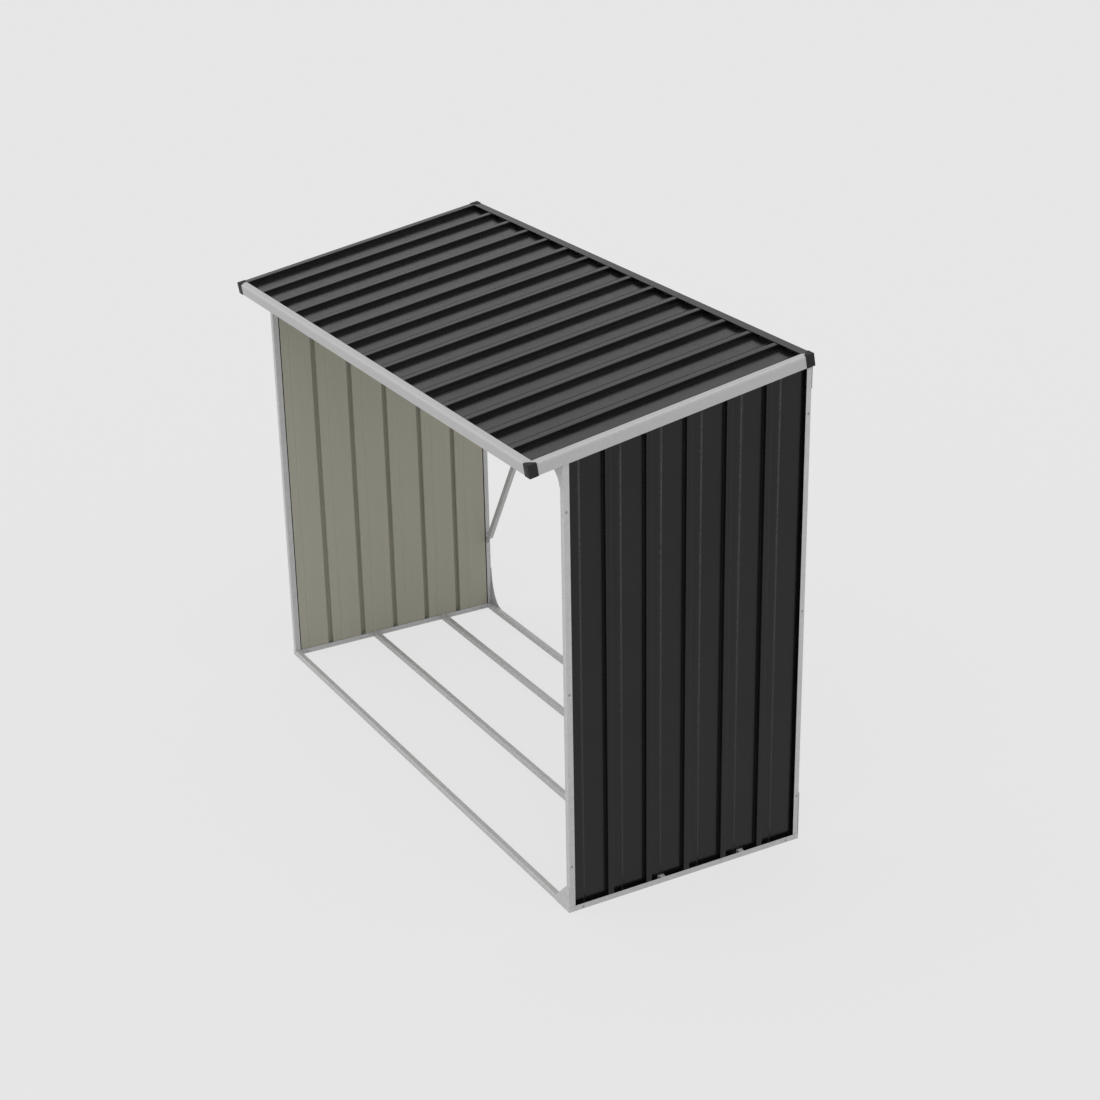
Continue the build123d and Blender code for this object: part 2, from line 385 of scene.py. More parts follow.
def tie(
    name: str, mesh: bpy.types.Mesh, finishes: list[Material], nodes: tuple[str, ...]
) -> None:
    """Shade a mesh, dress it and tie it to the frame.

    Args:
        name: Name of the piece.
        mesh: Its mesh, in the store's frame.
        finishes: Its materials.
        nodes: Solids that it stands for.
    """
    for finish in finishes:
        mesh.materials.append(finish)
    mesh.shade_smooth()
    mesh.set_sharp_from_angle(angle=SHARP_ANGLE)
    piece = bpy.data.objects.new(name, mesh)
    bpy.context.scene.collection.objects.link(piece)
    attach(piece, BODY)
    if nodes:
        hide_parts(*nodes)
    LOG.info("%s: %d faces", name, len(mesh.polygons))


def fill(tree: Tree, node: bpy.types.Node, **inputs: Filling) -> bpy.types.Node:
    """Fill sockets of a node.

    Args:
        tree: The tree that the node is in.
        node: The node.
        inputs: A plain value or a source for each socket, by its identifier with underscores for spaces.

    Returns:
        The same node.
    """
    sockets = {socket.identifier.replace(" ", "_"): socket for socket in node.inputs}
    for name, filling in inputs.items():
        if isinstance(filling, Socket):
            tree.links.new(filling, sockets[name])
        else:
            sockets[name].default_value = filling
    return node


def add(tree: Tree, kind: str, **inputs: Filling) -> bpy.types.Node:
    """Add a shader node of a kind and fill its sockets."""
    return fill(tree, tree.nodes.new(f"ShaderNode{kind}"), **inputs)


def emptied(block: Material | bpy.types.World) -> Tree:
    """Clear the nodes of a material or a world.

    Args:
        block: The material or world.

    Returns:
        Its empty tree.
    """
    block.use_nodes = True
    block.node_tree.nodes.clear()
    return block.node_tree


def tinted(tone: Colour, share: float) -> tuple[float, ...]:
    """A tone, lighter or darker by a share, as an opaque colour."""
    return (*(part * share for part in tone), 1.0)


@dataclass(frozen=True)
class Clouds:
    """Cloudy noise: clouds per metre, octaves of finer ones, and the scale along each axis if drawn out."""

    per_metre: float
    octaves: float
    stretch: Colour | None = None


class NodeBoard:
    """A material's nodes: one shader and the textures that feed it. Marked bends and edges are tinted in
    patches.
    """

    patches: Clouds = Clouds(140.0, 4.0)
    patch_span: Pair = (0.35, 0.65)
    least_patch: float = 0.35

    def __init__(self, name: str) -> None:
        """Start a material of that name with a shader and an output."""
        self.material = bpy.data.materials.new(name)
        self.tree = emptied(self.material)
        self.shader = add(self.tree, "BsdfPrincipled")
        add(self.tree, "OutputMaterial", Surface=self.shader.outputs["BSDF"])
        self.place = add(self.tree, "TexCoord").outputs["Object"]

    def set(self, **inputs: Filling) -> None:
        """Fill the shader's own sockets with plain values or textures."""
        fill(self.tree, self.shader, **inputs)

    def noise(self, clouds: Clouds) -> Socket:
        """Cloudy noise.

        Args:
            clouds: Its clouds.

        Returns:
            The noise's value.
        """
        place = self.place
        if clouds.stretch:
            place = add(self.tree, "Mapping", Vector=place, Scale=clouds.stretch).outputs["Vector"]
        noise = add(self.tree, "TexNoise", Vector=place, Scale=clouds.per_metre, Detail=clouds.octaves)
        return noise.outputs["Fac"]

    def spangle(self, per_metre: float) -> Socket:
        """Crystal pattern of zinc, as a value that is the same within each crystal."""
        cells = add(self.tree, "TexVoronoi", Vector=self.place, Scale=per_metre, Randomness=1.0)
        return add(self.tree, "SeparateColor", Color=cells.outputs["Color"]).outputs["Red"]

    def ramp(self, source: Socket, tone: Colour, spread: Pair, span: Pair = NOISE_SPAN) -> Socket:
        """Colours round a tone.

        Args:
            source: Value that picks the colour.
            tone: The tone.
            spread: Shares of the tone at the low and the high end.
            span: Values at which the two ends are reached.

        Returns:
            The colour.
        """
        ramp = add(self.tree, "ValToRGB", Fac=source)
        for element, place, share in zip(ramp.color_ramp.elements, span, spread):
            element.position = place
            element.color = tinted(tone, share)
        return ramp.outputs["Color"]

    def levels(self, source: Socket, levels: Pair, span: Pair = NOISE_SPAN) -> Socket:
        """Map a value from the span to a range of levels."""
        ends = dict(zip(("From_Min", "From_Max", "To_Min", "To_Max"), (*span, *levels)))
        return add(self.tree, "MapRange", Value=source, **ends).outputs["Result"]

    def worn_and_highlit(self, colour: Socket, rubbed_and_highlit: Filling, cover: float) -> Socket:
        """Tint a colour towards another at bends and cut edges, in broken patches: wear on zinc and backing,
        a painted highlight on the dark coil coats.

        Args:
            colour: Colour of the unmarked surface.
            rubbed_and_highlit: Colour of the marked surface.
            cover: Most that the marked colour covers.

        Returns:
            The colour with its wear and painted highlight.
        """
        wear = add(self.tree, "Attribute")
        wear.attribute_name = WEAR_AND_HIGHLIGHT
        patches = self.levels(self.noise(self.patches), (self.least_patch * cover, cover), self.patch_span)
        share = add(self.tree, "Math", Value=wear.outputs["Fac"], Value_001=patches)
        share.operation = "MULTIPLY"
        mix = add(self.tree, "Mix")
        mix.data_type = "RGBA"
        fill(self.tree, mix, Factor_Float=share.outputs["Value"], A_Color=colour, B_Color=rubbed_and_highlit)
        return next(socket for socket in mix.outputs if socket.identifier == "Result_Color")

    def bump(self, source: Socket, height: float) -> Socket:
        """Normal of a surface that is raised by a texture, with its full height in metres."""
        return add(self.tree, "Bump", Strength=1.0, Distance=height, Height=source).outputs["Normal"]


@dataclass(frozen=True)
class Finish:
    """A finish: a mottled tone, bends tinted for wear and painted highlight, and a sheen and a relief that
    vary.

    Spread gives the lowest and highest share of the tone, rub_share the share of it that bends are tinted to,
    and rub_cover how much of them is tinted: wear on zinc and backing, a painted highlight on the coil coats.
    """

    name: str
    tone: Colour
    pattern: Clouds = Clouds(600.0, 4.0)
    spread: Pair = (0.8, 1.2)
    rub_share: float = 1.0
    rub_cover: float = 0.0
    sheen: Clouds = Clouds(600.0, 4.0)
    roughness: Pair = (0.3, 0.5)
    relief: Clouds = Clouds(600.0, 4.0)
    relief_height: float = 0.01 * MM
    metallic: float = 0.0
    specular: float = 0.5

    def mottled(self, board: NodeBoard) -> Socket:
        """Colour of the unworn surface."""
        return board.ramp(board.noise(self.pattern), self.tone, self.spread)

    def material(self) -> Material:
        """Make the finish.

        Returns:
            Its material.
        """
        board = NodeBoard(self.name)
        colour = self.mottled(board)
        if self.rub_cover:
            colour = board.worn_and_highlit(colour, tinted(self.tone, self.rub_share), self.rub_cover)
        board.set(
            Base_Color=colour,
            Roughness=board.levels(board.noise(self.sheen), self.roughness),
            Normal=board.bump(board.noise(self.relief), self.relief_height),
            Metallic=self.metallic,
            Specular_IOR_Level=self.specular,
        )
        return board.material


@dataclass(frozen=True)
class ZincStrip(Finish):
    """Dull zinc on folded strip: faint crystals, rolling grain, brighter bends."""

    crystals_per_metre: float = 95.0
    spread: Pair = (0.95, 1.05)
    rub_share: float = 1.18
    rub_cover: float = 0.6
    sheen: Clouds = Clouds(260.0, 4.0)
    roughness: Pair = (0.40, 0.55)
    relief: Clouds = Clouds(260.0, 4.0)
    relief_height: float = 0.02 * MM
    metallic: float = 0.25

    def mottled(self, board: NodeBoard) -> Socket:
        """Colour of the unworn crystals."""
        return board.ramp(board.spangle(self.crystals_per_metre), self.tone, self.spread, (0.0, 1.0))


@dataclass(frozen=True)
class CoilCoat(Finish):
    """Dark satin coil coat on ribbed sheet: fine orange peel, faint dust, and bends tinted lighter as a
    painted highlight.
    """

    pattern: Clouds = Clouds(5.0, 6.0)
    spread: Pair = (0.75, 1.25)
    # Marked bends are tinted six times lighter: a painted highlight on crests and beads.
    rub_share: float = 6.0
    rub_cover: float = 0.5
    sheen: Clouds = Clouds(38.0, 5.0)
    roughness: Pair = (0.20, 0.28)
    relief: Clouds = Clouds(420.0, 2.0)
    relief_height: float = 0.004 * MM


@dataclass(frozen=True)
class BackingCoat(Finish):
    """Thin beige-grey coat on the inside of the sheet: soft streaks down the sheet, matt."""

    pattern: Clouds = Clouds(60.0, 4.0, (1.0, 1.0, 0.06))
    spread: Pair = (0.985, 1.015)
    rub_share: float = 1.1
    rub_cover: float = 0.5
    sheen: Clouds = Clouds(300.0, 3.0)
    roughness: Pair = (0.50, 0.62)
    relief: Clouds = Clouds(300.0, 3.0)
    relief_height: float = 0.006 * MM
    specular: float = 0.3


@dataclass(frozen=True)
class CapPlastic(Finish):
    """Dark moulded plastic with a fine spark-eroded grain."""

    pattern: Clouds = Clouds(1500.0, 2.0)
    spread: Pair = (0.8, 1.25)
    sheen: Clouds = Clouds(90.0, 3.0)
    roughness: Pair = (0.42, 0.55)
    relief: Clouds = Clouds(1500.0, 2.0)
    relief_height: float = 0.04 * MM
    specular: float = 0.09


@dataclass(frozen=True)
class ScrewSteel(Finish):
    """Plated screw steel, a little blotched."""

    roughness: Pair = (0.30, 0.48)
    metallic: float = 0.7


def seen_rays(tree: Tree) -> Socket:
    """Tell the rays that show the backdrop from those that light the store.

    Args:
        tree: Nodes of a material or a world.

    Returns:
        A value that is one for camera, glossy and transmission rays.
    """
    path = add(tree, "LightPath")
    seen = path.outputs["Is Camera Ray"]
    for other in ("Is Glossy Ray", "Is Transmission Ray"):
        either = add(tree, "Math", Value=seen, Value_001=path.outputs[other])
        either.operation = "MAXIMUM"
        seen = either.outputs["Value"]
    return seen


@dataclass(frozen=True)
class FloorPaint:
    """Pale matt floor that keeps most of its tone in shade where it is seen or mirrored."""

    name: str
    tone: Colour
    seen_share: float = 0.9

    def material(self) -> Material:
        """Make the finish.

        Returns:
            Its material.
        """
        material = bpy.data.materials.new(self.name)
        tree = emptied(material)
        paint = add(tree, "BsdfDiffuse", Color=tinted(self.tone, 1.0)).outputs["BSDF"]
        glow = add(tree, "Emission", Color=tinted(self.tone, 1.0)).outputs["Emission"]
        share = add(tree, "Math", Value=seen_rays(tree), Value_001=self.seen_share)
        share.operation = "MULTIPLY"
        mix = add(tree, "MixShader", Fac=share.outputs["Value"], Shader=paint, Shader_001=glow)
        add(tree, "OutputMaterial", Surface=mix.outputs["Shader"])
        return material


def mixed(finish: Finish) -> Material:
    """Field that holds the material of a finish."""
    return field(default_factory=finish.material)


@dataclass
class Finishes:
    """All finishes of the store, each mixed once."""

    # The zinc is a little lighter than the trims' same zinc: partly its own tone, partly painted light
    # against the shade in the bay.
    zinc: Material = mixed(ZincStrip("dull_zinc_strip", (0.43, 0.43, 0.433)))
    trim: Material = mixed(ZincStrip("silver_trim_strip", (0.397, 0.395, 0.395), spread=(0.98, 1.02)))
    # The roof's coat and the walls' coat are one paint: the roof's copy is lighter and glossier, the walls'
    # darker, as painted light and shade.
    roof: Material = mixed(CoilCoat("roof_coil_coat", (0.0055, 0.0055, 0.0058), specular=0.41))
    # The walls' coat tints its marked bends thirty times lighter: a painted highlight along the beads.
    wall: Material = mixed(
        CoilCoat("wall_coil_coat", (0.0035, 0.0035, 0.0038), rub_share=30.0, specular=0.32)
    )
    backing: Material = mixed(BackingCoat("beige_backing_coat", (0.312, 0.304, 0.25)))
    cap: Material = mixed(CapPlastic("dark_cap_plastic", (0.021, 0.021, 0.022)))
    screw: Material = mixed(ScrewSteel("plated_screw_steel", (0.3, 0.3, 0.303)))
    # The bolts are near black as painted shade: the low one at each brace foot stands for the shadow at the
    # strap's end.
    bolt: Material = mixed(ScrewSteel("blackened_bolt_steel", (0.03, 0.03, 0.031)))


@dataclass(frozen=True)
class RoofPlane:
    """Tilted frame of the roof: x along the length, v up the slope from the front trim, w out of the roof."""

    origin: Vector
    rise: Vector
    out: Vector

    @classmethod
    def from_trim(cls, trim: Solid) -> "RoofPlane":
        """Read the plane from the front trim's lip.

        Args:
            trim: The front trim's solid.

        Returns:
            The plane of the lip's top, with v zero at its front edge.
        """
        lip = max(trim.data.polygons, key=lambda face: face.normal.z)
        out = lip.normal.copy()
        rise = out.cross(Vector((1.0, 0.0, 0.0)))
        front = min((trim.data.vertices[number].co for number in lip.vertices), key=rise.dot)
        return cls(Vector((0.0, front.y, front.z)), rise, out)

    def point(self, x: float, v: float, w: float) -> Vector:
        """Point of the store's frame for a point of the roof's."""
        return self.origin + Vector((x, 0.0, 0.0)) + self.rise * v + self.out * w

    def local(self, point: Vector) -> Vector:
        """Point of the roof's frame for a point of the store's."""
        step = point - self.origin
        return Vector((point.x, step.dot(self.rise), step.dot(self.out)))

    def corners(self, node: Solid) -> list[Vector]:
        """Corners of a solid in the roof's frame."""
        return [self.local(corner.co) for corner in node.data.vertices]

    def box(self, node: Solid) -> Box:
        """Lowest and highest corner of a solid in the roof's frame."""
        axes = list(zip(*self.corners(node)))
        return Vector(map(min, axes)), Vector(map(max, axes))

    def height(self, y: float, w: float) -> float:
        """World height, at a world Y, of a plane parallel to the roof that lies w out of it."""
        return self.origin.z + (w - (y - self.origin.y) * self.out.y) / self.out.z


@dataclass
class Store:
    """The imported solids, the roof's plane and the finishes, shared by all sub-assemblies."""

    nodes: dict[str, Solid]
    roof: RoofPlane
    finishes: Finishes

    def roof_box(self, node: str) -> Box:
        """Box of a solid in the roof's frame."""
        return self.roof.box(self.nodes[node])


def channel_line(low: Pair, high: Pair, mouth: Mouth) -> list[Pair]:
    """Outer line of a channel that fills a box, with the metal on the left.

    Args:
        low: Lowest corner of the box.
        high: Highest corner of the box.
        mouth: Side on which it is open.

    Returns:
        The line's corners.
    """
    if mouth is Mouth.UP:
        return [(low[0], high[1]), low, (high[0], low[1]), high]
    return [(high[0], low[1]), high, (low[0], high[1]), low]


def in_store(*parts: float) -> Vector:
    """Point of the store's own frame."""
    return Vector(parts)


@dataclass
class Channels:
    """Pieces of one sub-assembly that are folded as channels from zinc strip."""

    store: Store
    gauge: float = 1.0 * MM
    bend: float = 0.8 * MM

    def channel(
        self,
        node: str,
        box: Box,
        axis: Axis,
        mouth: Mouth,
        point: Callable[..., Vector] = in_store,
        reach: Callable[[Pair], float] | None = None,
        stops: list[Stop] | None = None,
        keep: Keeper | None = None,
    ) -> None:
        """Fold one channel and dress it.

        Args:
            node: Solid that it stands for.
            box: The solid's box.
            axis: Axis of the box along which it runs.
            mouth: Open side of its section in the other two axes.
            point: Gives a point in the store's frame for three numbers in the box's.
            reach: Gives where it ends at a point of the section, if not at the box's end.
            stops: Stops along it, where plain ones won't do.
            keep: Says which cells are metal.
        """
        at = axis.value
        low, high = ((*corner[:at], *corner[at + 1:]) for corner in box)
        start, end = (corner[at] for corner in box)

        def place(spot: Pair, stop: Stop) -> Vector:
            """Place along the axis."""
            return point(*spot[:at], stop.between(start, reach(spot) if reach else end), *spot[at:])

        piece = FoldedPiece(f"folded_{node}")
        fold = Fold(channel_line(low, high, mouth), self.gauge, Metal.LEFT, self.bend)
        piece.lay(fold, stops or plain_stops(), place, keep)
        piece.make([self.store.finishes.zinc], (node,))


@dataclass
class BaseRails(Channels):
    """Rails on the ground: end rails open upwards, long rails and floor rails open downwards."""

    joint_clearance: float = 0.2 * MM

    def build(self) -> None:
        """Fold all rails."""
        for end in End:
            node = f"base_{end.word}_rail"
            self.channel(node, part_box(node), Axis.Y, Mouth.UP)
        for row in Row:
            node = f"base_{row.word}_rail"
            self.channel(node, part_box(node), Axis.X, Mouth.DOWN)
            self._floor_rail(f"floor_rail_{row.word}")

    def _floor_rail(self, node: str) -> None:
        """Fold a floor rail whose web runs on over the end rails as tongues.

        Args:
            node: Solid that it stands for.
        """
        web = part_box(node)[1].z - self.gauge / 2
        rail_low, rail_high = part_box("base_left_rail")
        tongue = rail_high.x - rail_low.x + self.joint_clearance
        stops = plain_stops(Stop(0.0, tongue), Stop(1.0, -tongue))

        def keep(spot: Pair, stop: Stop) -> bool:
            """Only the web runs on as tongues."""
            on_tongue = stop.share in (0.0, 1.0) and abs(stop.offset) < tongue - CLOSE
            return not on_tongue or spot[1] > web

        self.channel(node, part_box(node), Axis.X, Mouth.DOWN, stops=stops, keep=keep)


@dataclass
class Posts(Channels):
    """Upright channels in the corners, webs on the open sides, cut off along the roof."""

    def build(self) -> None:
        """Fold all posts."""
        for row in Row:
            for end in End:
                self._post(f"post_{row.word}_{end.word}", Mouth.UP if row is Row.FRONT else Mouth.DOWN)

    def _post(self, node: str, mouth: Mouth) -> None:
        """Fold one post up to the roof's slope, with that open side seen from above."""
        roof, top = self.store.roof, self.store.roof_box(node)[1].z
        self.channel(node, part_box(node), Axis.Z, mouth, reach=lambda spot: roof.height(spot[1], top))


@dataclass
class RoofFrame(Channels):
    """Channels under the roof sheets, open downwards."""

    def build(self) -> None:
        """Fold all beams."""
        for axis, sides in ((Axis.Y, End), (Axis.X, Row)):
            for side in sides:
                node = f"roof_{side.word}_beam"
                self.channel(node, self.store.roof_box(node), axis, Mouth.DOWN, self.store.roof.point)


def ribbed_line(corners: list[Pair]) -> list[Pair]:
    """Outer line of a ribbed sheet, read from the corners of its cut end.

    Args:
        corners: Place along the sheet and distance out of it, for all corners of the cut end.

    Returns:
        The outer face's corners in order.
    """
    places = {(round(along, 6), round(out, 6)) for along, out in corners}
    levels = sorted({out for _, out in places}, reverse=True)
    faces: list[float] = []
    for level in levels:
        if not faces or faces[-1] - level > CLOSE:
            faces.append(level)
    crest, _, pan, _ = faces
    return sorted(spot for spot in places if min(abs(spot[1] - crest), abs(spot[1] - pan)) < CLOSE)


@dataclass(frozen=True)
class PanBead:
    """Fine bead that is rolled into each pan of the sheet, at a distance from a rib."""

    from_rib: float
    half_width: float = 3.5 * MM
    height: float = 1.2 * MM

    def rolled(self, line: list[Pair]) -> list[Pair]:
        """Roll the beads into a sheet.

        Args:
            line: Outer line of the sheet with flat pans.

        Returns:
            The line with beads.
        """
        pan = min(out for _, out in line)
        crests = sorted(along for along, out in line if out > pan + CLOSE)
        middles = [(one + two) / 2 for one, two in zip(crests[::2], crests[1::2])]
        pitch = middles[2] - middles[1]
        ends = (line[0][0] + self.half_width, line[-1][0] - self.half_width)
        beads = [middle + self.from_rib for middle in (middles[0] - pitch, *middles, middles[-1] + pitch)]
        for bead in beads:
            if ends[0] < bead < ends[1]:
                shape = ((-self.half_width, 0.0), (0.0, self.height), (self.half_width, 0.0))
                line = line + [(bead + along, pan + out) for along, out in shape]
        return sorted(line)


@dataclass
class WallSheets:
    """Ribbed end walls with a fine bead in each pan, dark outside and beige inside.

    The dark coat goes round the sides of the sheet and covers a narrow band inside, beside the posts, as
    painted shade for the shadow there.
    """

    store: Store
    gauge: float = 0.8 * MM
    bend: float = 0.2 * MM
    bead: PanBead = PanBead(from_rib=45.0 * MM, height=1.4 * MM)
    # Width of the painted shade band on the inside beside each post.
    coat_wrap: float = 19.0 * MM
    notch_reach: float = 100.0 * MM
    # Rib bends take a weaker mark than the beads, and the mark fades to the foot: a painted highlight on the
    # outer coat, wear on the backing.
    rib_wear: float = 0.25
    foot_rub: float = 0.15

    def build(self) -> None:
        """Fold both walls."""
        for end in End:
            self._wall(f"{end.word}_wall_sheet", end)

    def _wall(self, node: str, end: End) -> None:
        """Fold one wall.

        Args:
            node: Solid that it stands for.
            end: End of the store that it closes.
        """
        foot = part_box(node)[0].z
        top = self.store.roof_box(node)[1].z
        corners = [corner.co for corner in self.store.nodes[node].data.vertices]
        cut = [(corner.y, corner.x * end.value) for corner in corners if corner.z - foot < CLOSE]
        line = self.bead.rolled(ribbed_line(cut))
        # Ends of the painted shade band at each side.
        shade_line_ends = (line[0][0] + self.coat_wrap, line[-1][0] - self.coat_wrap)
        line = sorted([*line, (shade_line_ends[0], line[0][1]), (shade_line_ends[1], line[-1][1])])
        notched = [corner for corner in corners if CLOSE < corner.z - foot < self.notch_reach]
        notch_top = max(round(corner.z - foot, 5) for corner in notched)
        notch_sides = sorted({round(corner.y, 5) for corner in notched})
        notches = list(zip(notch_sides[::2], notch_sides[1::2]))
        fold = Fold(line, self.gauge, Metal.RIGHT, self.bend, sharp_wear=self.rib_wear)

        def place(spot: Pair, stop: Stop) -> Vector:
            """Place along Z, up to the roof's slope."""
            z = stop.between(foot, self.store.roof.height(spot[0], top))
            return Vector((spot[1] * end.value, spot[0], z))

        def keep(spot: Pair, stop: Stop) -> bool:
            """No metal in the notches over the floor rails."""
            low = stop.share == 0.0 and stop.offset < notch_top
            return not (low and any(one < spot[0] < two for one, two in notches))

        def in_shade_line(spot: Pair) -> bool:
            """The dark coat goes round the sides of the sheet, as painted shade beside the posts."""
            return not shade_line_ends[0] < spot[0] < shade_line_ends[1]

        piece = FoldedPiece(f"folded_{node}")
        # The weak mark near the foot fades the painted bead highlight downwards.
        piece.lay(fold, plain_stops(Stop(0.0, notch_top, 0.0, self.foot_rub)), place, keep, in_shade_line)
        piece.make([self.store.finishes.wall, self.store.finishes.backing], (node,))


@dataclass
class RoofSheets:
    """Ribbed roof sheets side by side, lapped on shared ribs, with a fine bead in each pan."""

    store: Store
    count: int = 3
    gauge: float = 0.8 * MM
    bend: float = 0.2 * MM
    bead: PanBead = PanBead(from_rib=-43.0 * MM)
    trim_room: float = 3.0 * MM

    def build(self) -> None:
        """Fold all sheets."""
        for number in range(1, self.count + 1):
            self._sheet(f"roof_sheet_{number}")

    def _sheet(self, node: str) -> None:
        """Fold one sheet, which stops clear of the front trim's round bend.

        Args:
            node: Solid that it stands for.
        """
        corners = self.store.roof.corners(self.store.nodes[node])
        start = min(corner.y for corner in corners)
        end = max(corner.y for corner in corners)
        cut = [(corner.x, corner.z) for corner in corners if corner.y - start < CLOSE]
        fold = Fold(self.bead.rolled(ribbed_line(cut)), self.gauge, Metal.RIGHT, self.bend)

        def place(spot: Pair, stop: Stop) -> Vector:
            """Place up the slope."""
            return self.store.roof.point(spot[0], stop.between(start + self.trim_room, end), spot[1])

        piece = FoldedPiece(f"folded_{node}")
        piece.lay(fold, plain_stops(), place)
        piece.make([self.store.finishes.roof, self.store.finishes.backing], (node,))


@dataclass
class RoofTrims:
    """Edge trims: folded lips and faces at the front and right, faces with strips at the back and left."""

    store: Store
    gauge: float = 1.0 * MM
    bend: float = 4.0 * MM
    mitre_gap: float = 0.1 * MM
    half_length: float = field(init=False)
    depth: float = field(init=False)
    lip: float = field(init=False)
    drop: float = field(init=False)

    def __post_init__(self) -> None:
        """Read the outline of the roof's edge."""
        low, high = self.store.roof_box("roof_trim_front")
        self.half_length = high.x
        self.lip = high.y
        self.drop = -low.z
        self.depth = self.store.roof_box("roof_trim_right")[1].y

    def build(self) -> None:
        """Fold all trims and strips."""
        finishes = self.store.finishes
        bent = [(self.lip, 0.0), (0.0, 0.0), (0.0, -self.drop)]
        face = [(0.0, -self.gauge), (0.0, -self.drop)]
        strip = [(self.lip, 0.0), (0.0, 0.0)]
        for side in (Row.FRONT, End.RIGHT):
            self._run(f"roof_trim_{side.word}", side, bent, finishes.trim)
        for side in (Row.BACK, End.LEFT):
            self._run(f"roof_trim_{side.word}", side, face, finishes.trim)
            self._run(f"roof_edge_strip_{side.word}", side, strip, finishes.roof)

    def _run(self, node: str, side: Side, line: list[Pair], finish: Material) -> None:
        """Fold one trim along one edge, mitred at both ends.

        Args:
            node: Solid that it stands for.
            side: Side of the roof that it follows.
            line: Its outer line as distance in from the edge and height above the lips.
            finish: Its material.
        """
        point = self.store.roof.point

        def place(spot: Pair, stop: Stop) -> Vector:
            """Place along the edge, shortened by the mitres.

            Args:
                spot: Distance in from the edge and height above the lips.
                stop: Place along the edge.

            Returns:
                The point in the store's frame.
            """
            inward, w = spot
            reach = self.half_length - inward
            if isinstance(side, End):
                return point(side.value * reach, stop.between(inward, self.depth - inward), w)
            v = inward if side is Row.FRONT else self.depth - inward
            return point(stop.between(self.mitre_gap - reach, reach - self.mitre_gap), v, w)

        piece = FoldedPiece(f"folded_{node}")
        piece.lay(Fold(line, self.gauge, Metal.LEFT, self.bend), plain_stops(), place)
        piece.make([finish], (node,))


@dataclass
class CornerCaps:
    """Moulded caps over the corners of the trims, with rounded edges."""

    store: Store
    edge_radius: float = 0.55 * MM
    edge_steps: int = 3
    edge_angle: float = math.radians(30)
    flat_angle: float = math.radians(1)
    round_profile: float = 0.5

    def build(self) -> None:
        """Mould all caps."""
        for row in Row:
            for end in End:
                self._cap(f"corner_cap_{row.word}_{end.word}")

    def _cap(self, node: str) -> None:
        """Mould one cap over its solid's shape.

        Args:
            node: Solid that it stands for.
        """
        work = bmesh.new()
        work.from_mesh(self.store.nodes[node].data)
        bmesh.ops.remove_doubles(work, verts=work.verts, dist=CLOSE / 10)
        bmesh.ops.dissolve_limit(work, angle_limit=self.flat_angle, verts=work.verts, edges=work.edges)
        sharp = [edge for edge in work.edges if edge.is_manifold and edge.calc_face_angle() > self.edge_angle]
        bmesh.ops.bevel(
            work,
            geom=sharp,
            offset=self.edge_radius,
            segments=self.edge_steps,
            profile=self.round_profile,
            affect="EDGES",
            clamp_overlap=True,
        )
        bmesh.ops.recalc_face_normals(work, faces=work.faces)
        mesh = bpy.data.meshes.new(f"moulded_{node}")
        work.to_mesh(mesh)
        work.free()
        carried = mesh.attributes.get("custom_normal")
        if carried:
            mesh.attributes.remove(carried)
        mesh.polygons.foreach_set("material_index", [0] * len(mesh.polygons))
        tie(mesh.name, mesh, [self.store.finishes.cap], (node,))


@dataclass
class BracesAndGussets:
    """Braces and corner plates, whose solids already have the right shape."""

    store: Store

    def build(self) -> None:
        """Dress all braces and gussets."""
        for name, node in self.store.nodes.items():
            if name.startswith("brace_") or "gusset" in name:
                node.data.materials.clear()
                node.data.materials.append(self.store.finishes.zinc)
                LOG.info("%s: dressed", name)


@dataclass(frozen=True)
class Head:
    """Turned head of a fastener, with the radius and height of each ring as shares of its own."""

    radius: float
    height: float
    rings: tuple[Pair, ...]
    recess: float = 0.0

    def set(self, piece: FoldedPiece, centre: Vector, axis: Vector) -> None:
        """Add the head to a piece, with the middle of its seat and the direction in which it stands out."""
        piece.turn([(self.radius * r, self.height * h) for r, h in self.rings], centre, axis, self.recess)


PAN_RINGS = ((1.0, 0.0), (1.0, 0.35), (0.9, 0.72), (0.68, 0.95), (0.52, 1.0), (0.46, 0.98), (0.34, 0.4))
DOME_RINGS = ((1.0, 0.0), (0.98, 0.3), (0.85, 0.62), (0.6, 0.87), (0.25, 1.0))


